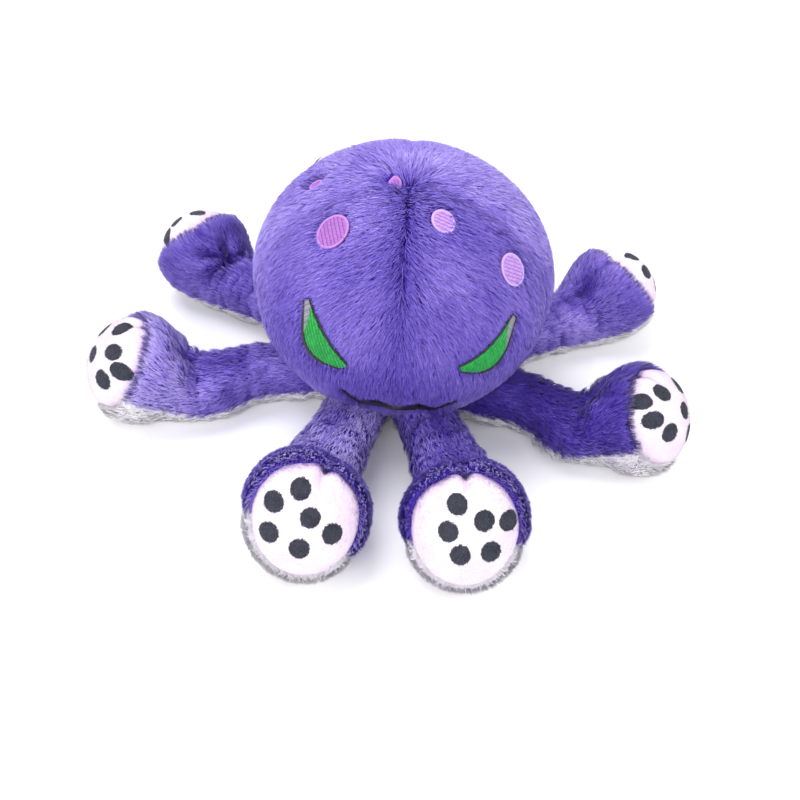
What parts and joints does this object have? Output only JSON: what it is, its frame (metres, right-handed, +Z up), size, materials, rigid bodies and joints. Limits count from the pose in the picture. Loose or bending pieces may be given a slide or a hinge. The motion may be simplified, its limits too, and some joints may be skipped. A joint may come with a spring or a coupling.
{
  "type": "plush octopus toy",
  "caption": "Soft stuffed octopus toy with a round furry head, scowling embroidered eyes and short arms that lift, each ending in a spotted toe pad.",
  "frame": {"origin": "middle of the flat base of the head, on the surface the toy sits on", "axes": "+Z up through the head, the face looks along -Y, +X to the left of the toy and to the right of someone facing it"},
  "size_m": [0.3797, 0.4097, 0.1517],
  "materials": {
    "purple_fur": "long soft pile, combed down",
    "white_fur": "short soft white pile with a faint lilac tint",
    "toe_pad_plush": "very short pile with printed round charcoal dots",
    "filling": "loose polyester fibre filling",
    "green_thread": "satin stitch embroidery",
    "black_thread": "satin stitch embroidery",
    "grey_thread": "satin stitch embroidery",
    "pink_thread": "satin stitch embroidery"
  },
  "bodies": {
    "head": {"head_front_left_panel": "purple_fur", "head_front_right_panel": "purple_fur", "head_back_right_panel": "purple_fur", "head_back_left_panel": "purple_fur", "head_base_panel": "white_fur", "head_stuffing": "filling", "eye_left_green": "green_thread", "eye_left_glint": "grey_thread", "eye_left_outline": "black_thread", "eye_right_green": "green_thread", "eye_right_glint": "grey_thread", "eye_right_outline": "black_thread", "mouth_stitching": "black_thread", "spot_left_large": "pink_thread", "spot_right_upper": "pink_thread", "spot_right_side": "pink_thread", "spot_crown": "pink_thread", "spot_left_side": "pink_thread"},
    "front_left_arm": {"front_left_arm_left_panel": "purple_fur", "front_left_arm_right_panel": "purple_fur", "front_left_arm_sole": "white_fur", "front_left_arm_toe_pad": "toe_pad_plush", "front_left_arm_stuffing": "filling"},
    "front_right_arm": {"front_right_arm_left_panel": "purple_fur", "front_right_arm_right_panel": "purple_fur", "front_right_arm_sole": "white_fur", "front_right_arm_toe_pad": "toe_pad_plush", "front_right_arm_stuffing": "filling"},
    "right_front_arm": {"right_front_arm_left_panel": "purple_fur", "right_front_arm_right_panel": "purple_fur", "right_front_arm_sole": "white_fur", "right_front_arm_toe_pad": "toe_pad_plush", "right_front_arm_stuffing": "filling"},
    "right_back_arm": {"right_back_arm_left_panel": "purple_fur", "right_back_arm_right_panel": "purple_fur", "right_back_arm_sole": "white_fur", "right_back_arm_toe_pad": "toe_pad_plush", "right_back_arm_stuffing": "filling"},
    "back_right_arm": {"back_right_arm_left_panel": "purple_fur", "back_right_arm_right_panel": "purple_fur", "back_right_arm_sole": "white_fur", "back_right_arm_toe_pad": "toe_pad_plush", "back_right_arm_stuffing": "filling"},
    "back_left_arm": {"back_left_arm_left_panel": "purple_fur", "back_left_arm_right_panel": "purple_fur", "back_left_arm_sole": "white_fur", "back_left_arm_toe_pad": "toe_pad_plush", "back_left_arm_stuffing": "filling"},
    "left_back_arm": {"left_back_arm_left_panel": "purple_fur", "left_back_arm_right_panel": "purple_fur", "left_back_arm_sole": "white_fur", "left_back_arm_toe_pad": "toe_pad_plush", "left_back_arm_stuffing": "filling"},
    "left_front_arm": {"left_front_arm_left_panel": "purple_fur", "left_front_arm_right_panel": "purple_fur", "left_front_arm_sole": "white_fur", "left_front_arm_toe_pad": "toe_pad_plush", "left_front_arm_stuffing": "filling"}
  },
  "joints": [
    {"name": "front_left_arm_lift", "type": "hinge", "parent": "head", "child": "front_left_arm", "pos_m": [-0.03058, -0.09222, 0.0175], "axis": [-0.9563, 0.2924, 0], "range_deg": [0, 50]},
    {"name": "front_right_arm_lift", "type": "hinge", "parent": "head", "child": "front_right_arm", "pos_m": [0.02801, -0.09317, 0.0175], "axis": [-0.9426, -0.3338, 0], "range_deg": [0, 50]},
    {"name": "right_front_arm_lift", "type": "hinge", "parent": "head", "child": "right_front_arm", "pos_m": [0.09093, -0.05017, 0.0175], "axis": [-0.2079, -0.9781, 0], "range_deg": [0, 50]},
    {"name": "right_back_arm_lift", "type": "hinge", "parent": "head", "child": "right_back_arm", "pos_m": [0.1025, 0.02767, 0.0175], "axis": [0.5299, -0.848, 0], "range_deg": [0, 50]},
    {"name": "back_right_arm_lift", "type": "hinge", "parent": "head", "child": "back_right_arm", "pos_m": [0.0309, 0.09811, 0.0175], "axis": [0.9511, -0.309, 0], "range_deg": [0, 50]},
    {"name": "back_left_arm_lift", "type": "hinge", "parent": "head", "child": "back_left_arm", "pos_m": [-0.03007, 0.09837, 0.0175], "axis": [0.9537, 0.3007, 0], "range_deg": [0, 50]},
    {"name": "left_back_arm_lift", "type": "hinge", "parent": "head", "child": "left_back_arm", "pos_m": [-0.09669, 0.03625, 0.0175], "axis": [0.515, 0.8572, 0], "range_deg": [0, 50]},
    {"name": "left_front_arm_lift", "type": "hinge", "parent": "head", "child": "left_front_arm", "pos_m": [-0.09402, -0.03967, 0.0175], "axis": [-0.1736, 0.9848, 0], "range_deg": [0, 50]}
  ]
}
